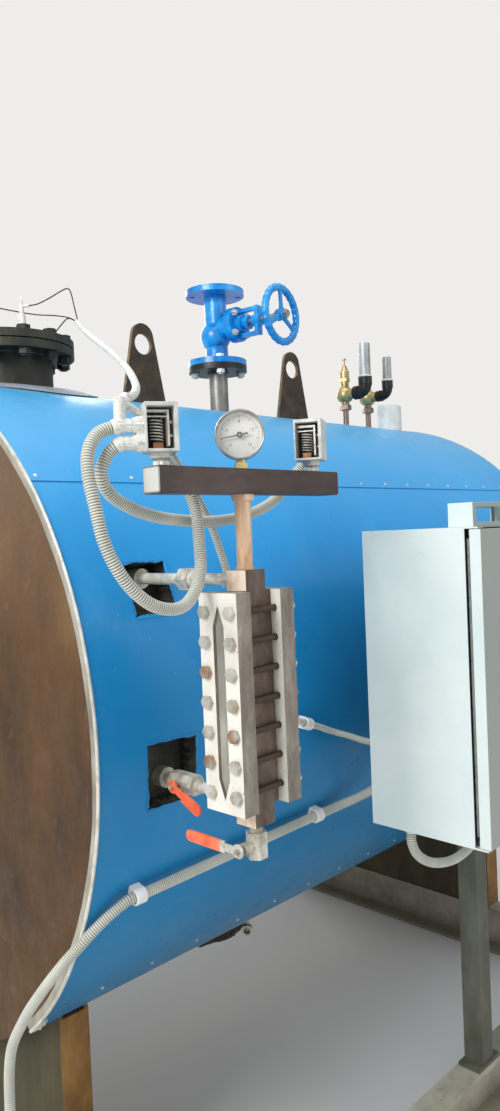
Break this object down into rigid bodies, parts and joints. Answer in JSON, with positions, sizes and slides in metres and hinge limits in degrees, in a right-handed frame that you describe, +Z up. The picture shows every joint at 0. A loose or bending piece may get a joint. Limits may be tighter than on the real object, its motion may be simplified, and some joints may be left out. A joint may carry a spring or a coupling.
{
  "type": "industrial steam boiler",
  "caption": "Horizontal shell steam boiler on a skid, with clad insulated body, level gauge, pressure controls, stop valve, safety valves and a control cabinet.",
  "frame": {"origin": "on the floor, on the boiler's centre line, under the middle of the front saddle", "axes": "+X along the boiler from its front plate to its rear plate, -Y towards the side with the level gauge and the cabinet, +Z up"},
  "size_m": [2.151, 2.056, 2.267],
  "materials": {
    "primer_steel": "matt brown primer, stained",
    "mineral_wool": "dark mineral wool",
    "blue_sheet": "glossy blue coating on sheet steel",
    "galvanised": "galvanised sheet",
    "skid_paint": "matt grey primer, dusty",
    "rusty_steel": "rusty, partly primed steel",
    "black_steel": "mill-black steel",
    "zinc_steel": "zinc-plated steel",
    "ceramic": "glazed insulator",
    "black_wire": "thin insulated wire",
    "valve_blue": "glossy blue paint on cast iron",
    "brass": "dull brass",
    "white_plastic": "white plastic",
    "worn_steel": "brown primer, worn",
    "copper_pipe": "primed pipe with a copper tone",
    "white_paint": "off-white paint",
    "gauge_glass": "thick reflex glass",
    "lever_paint": "orange dipped grip",
    "clear_glass": "flat lens",
    "grey_case": "light grey case",
    "cabinet_paint": "light grey powder coat",
    "conduit_plastic": "cream ribbed conduit"
  },
  "bodies": {
    "boiler": {"shell": "primer_steel", "front_plate": "primer_steel", "rear_plate": "primer_steel", "insulation": "mineral_wool", "cladding_near": "blue_sheet", "cladding_far": "blue_sheet", "cladding_top": "blue_sheet", "end_trims": "galvanised", "furnace_cover": "primer_steel", "flue_stub": "primer_steel", "crossmembers": "skid_paint", "skid_beams": "skid_paint", "saddles": "rusty_steel", "lifting_lugs": "black_steel", "probe_nozzle": "black_steel", "probe_cover": "black_steel", "nozzle_bolt_set": "zinc_steel", "level_probes": "ceramic", "level_wires": "black_wire", "steam_riser": "primer_steel", "valve_body": "valve_blue", "valve_bonnet": "valve_blue", "valve_bolt_set": "zinc_steel", "safety_valves": "brass", "discharge_pipes": "galvanised", "pipe_sleeve": "white_plastic", "gauge_body": "worn_steel", "gauge_riser": "copper_pipe", "gauge_covers": "white_paint", "gauge_glasses": "gauge_glass", "gauge_bolt_set": "zinc_steel", "upper_branch": "zinc_steel", "lower_branch": "zinc_steel", "drain_valve": "brass", "manifold": "worn_steel", "pressure_gauge": "zinc_steel", "gauge_lens": "clear_glass", "pressure_switches": "grey_case", "cabinet": "cabinet_paint", "cabinet_plate": "galvanised", "cabinet_stand": "skid_paint", "cabinet_hood": "cabinet_paint", "conduit_clamps": "white_plastic", "conduit_glands": "grey_case", "conduit_loops": "conduit_plastic", "conduit_runs": "conduit_plastic", "probe_lead": "conduit_plastic"},
    "stem": {"valve_stem": "zinc_steel"},
    "wheel": {"handwheel": "valve_blue"},
    "branch_handle": {"branch_lever": "lever_paint"},
    "drain_handle": {"drain_lever": "lever_paint"},
    "pointer": {"gauge_pointer": "black_steel"},
    "door": {"cabinet_door": "cabinet_paint"}
  },
  "joints": [
    {"name": "stem_slide", "type": "slide", "parent": "boiler", "child": "stem", "axis": [-0.1392, 0.9903, 0], "range_m": [0, 0.016]},
    {"name": "handwheel_turn", "type": "hinge", "parent": "stem", "child": "wheel", "pos_m": [0.96493, -0.24856, 2.147], "axis": [-0.1392, 0.9903, 0], "range_deg": [0, 1440]},
    {"name": "branch_lever_turn", "type": "hinge", "parent": "boiler", "child": "branch_handle", "pos_m": [0.042, -0.772, 1.042], "axis": [1, 0, 0], "range_deg": [-25, 65]},
    {"name": "drain_lever_turn", "type": "hinge", "parent": "boiler", "child": "drain_handle", "pos_m": [0.03, -0.948, 0.971], "axis": [-1, 0, 0], "range_deg": [-5, 85]},
    {"name": "pointer_turn", "type": "hinge", "parent": "boiler", "child": "pointer", "pos_m": [0.072, -0.948, 1.652], "axis": [0.7071, 0.7071, 0], "range_deg": [-35, 235]},
    {"name": "door_turn", "type": "hinge", "parent": "boiler", "child": "door", "pos_m": [0.473, -1.1495, 1.185], "axis": [0, 0, -1], "range_deg": [0, 120]}
  ],
  "couplings": [
    {"joint": "stem_slide", "follows": "handwheel_turn", "m_per_rad": 0.00063662}
  ]
}
